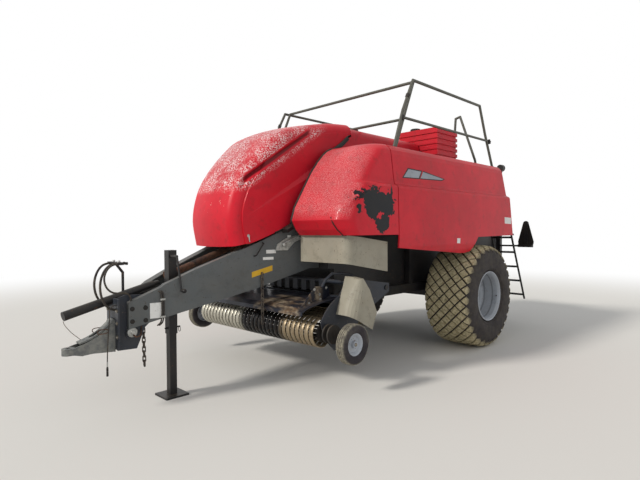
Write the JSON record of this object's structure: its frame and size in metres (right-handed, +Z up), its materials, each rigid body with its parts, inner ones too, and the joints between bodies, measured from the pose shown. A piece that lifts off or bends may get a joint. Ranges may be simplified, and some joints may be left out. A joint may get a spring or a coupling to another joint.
{
  "type": "large square baler",
  "caption": "Towed farm baler with a long bale chamber, a moulded nose hood, side doors, a drawbar on a jack, a raised pickup and wide diamond-tread tyres.",
  "frame": {"origin": "on the ground, at the middle of the machine's box", "axes": "+X forward to the hitch, +Y to the machine's left, +Z up"},
  "size_m": [7.66, 3.07, 3.5795],
  "materials": {
    "red_paint": "weathered gloss",
    "grey_paint": "worn satin",
    "pale_grey_paint": "worn satin",
    "dark_paint": "worn satin",
    "rim_paint": "silver satin",
    "tyre_rubber": "dusty",
    "hose_rubber": "matte",
    "bare_steel": "worn bright",
    "rusty_steel": "rusty",
    "machine_iron": "painted"
  },
  "bodies": {
    "frame": {"chassis": "dark_paint", "bale_chamber": "dark_paint", "plunger": "bare_steel", "gearbox": "machine_iron", "drawbar_left": "grey_paint", "drawbar_right": "grey_paint", "hitch_block": "dark_paint", "hitch_clevis": "pale_grey_paint", "jack_sleeve": "dark_paint", "pto_shaft": "dark_paint", "hose_rack": "dark_paint", "hose_a": "hose_rubber", "hose_b": "hose_rubber", "hose_c": "hose_rubber", "cable": "hose_rubber", "chains": "rusty_steel", "centre_hood": "red_paint", "corner_panels": "red_paint", "shields": "pale_grey_paint", "twine_boxes": "dark_paint", "deck": "dark_paint", "tank": "red_paint", "rear_panel": "red_paint", "handrails": "dark_paint", "ladder": "dark_paint", "rear_lights": "dark_paint"},
    "flywheel": {"flywheel": "rusty_steel"},
    "jack_leg": {"jack_leg": "dark_paint"},
    "nose_hood": {"nose_hood": "red_paint"},
    "door_left": {"door_left": "red_paint"},
    "door_right": {"door_right": "red_paint"},
    "bale_chute": {"bale_chute": "dark_paint"},
    "wheel_left": {"tyre_left": "tyre_rubber", "rim_left": "rim_paint"},
    "wheel_right": {"tyre_right": "tyre_rubber", "rim_right": "rim_paint"},
    "pickup": {"pickup_frame": "dark_paint", "pickup_bands": "bare_steel", "windguard": "dark_paint", "drive_shield": "pale_grey_paint"},
    "pickup_reel": {"pickup_reel": "rusty_steel"},
    "gauge_wheel_left": {"gauge_tyre_left": "tyre_rubber", "gauge_rim_left": "rim_paint"},
    "gauge_wheel_right": {"gauge_tyre_right": "tyre_rubber", "gauge_rim_right": "rim_paint"}
  },
  "joints": [
    {"name": "wheel_left_spin", "type": "hinge", "parent": "frame", "child": "wheel_left", "pos_m": [-1.39, 1.18, 0.735], "axis": [0, 1, 0], "continuous": true},
    {"name": "wheel_right_spin", "type": "hinge", "parent": "frame", "child": "wheel_right", "pos_m": [-1.39, -1.18, 0.735], "axis": [0, 1, 0], "continuous": true},
    {"name": "flywheel_spin", "type": "hinge", "parent": "frame", "child": "flywheel", "pos_m": [2.83, -0.06, 1.213], "axis": [-0.9455, 0, 0.3256], "continuous": true},
    {"name": "jack_slide", "type": "slide", "parent": "frame", "child": "jack_leg", "axis": [0, 0, 1], "range_m": [0, 0.35]},
    {"name": "nose_hood_lift", "type": "hinge", "parent": "frame", "child": "nose_hood", "pos_m": [0.6, 0, 3.09], "axis": [0, -1, 0], "range_deg": [0, 50]},
    {"name": "door_left_lift", "type": "hinge", "parent": "frame", "child": "door_left", "pos_m": [-0.69, 1.255, 2.655], "axis": [1, 0, 0], "range_deg": [0, 75]},
    {"name": "door_right_lift", "type": "hinge", "parent": "frame", "child": "door_right", "pos_m": [-0.69, -1.255, 2.655], "axis": [-1, 0, 0], "range_deg": [0, 75]},
    {"name": "chute_fold", "type": "hinge", "parent": "frame", "child": "bale_chute", "pos_m": [-3.65, 0, 0.87], "axis": [0, -1, 0], "range_deg": [0, 95]},
    {"name": "pickup_lift", "type": "hinge", "parent": "frame", "child": "pickup", "pos_m": [0.56, 0, 1], "axis": [0, 1, 0], "range_deg": [0, 20]},
    {"name": "pickup_reel_spin", "type": "hinge", "parent": "pickup", "child": "pickup_reel", "pos_m": [1.6, 0, 0.61], "axis": [0, 1, 0], "continuous": true},
    {"name": "gauge_left_spin", "type": "hinge", "parent": "pickup", "child": "gauge_wheel_left", "pos_m": [1.53, 1.417, 0.53], "axis": [0, 1, 0], "continuous": true},
    {"name": "gauge_right_spin", "type": "hinge", "parent": "pickup", "child": "gauge_wheel_right", "pos_m": [1.53, -1.417, 0.53], "axis": [0, 1, 0], "continuous": true}
  ]
}
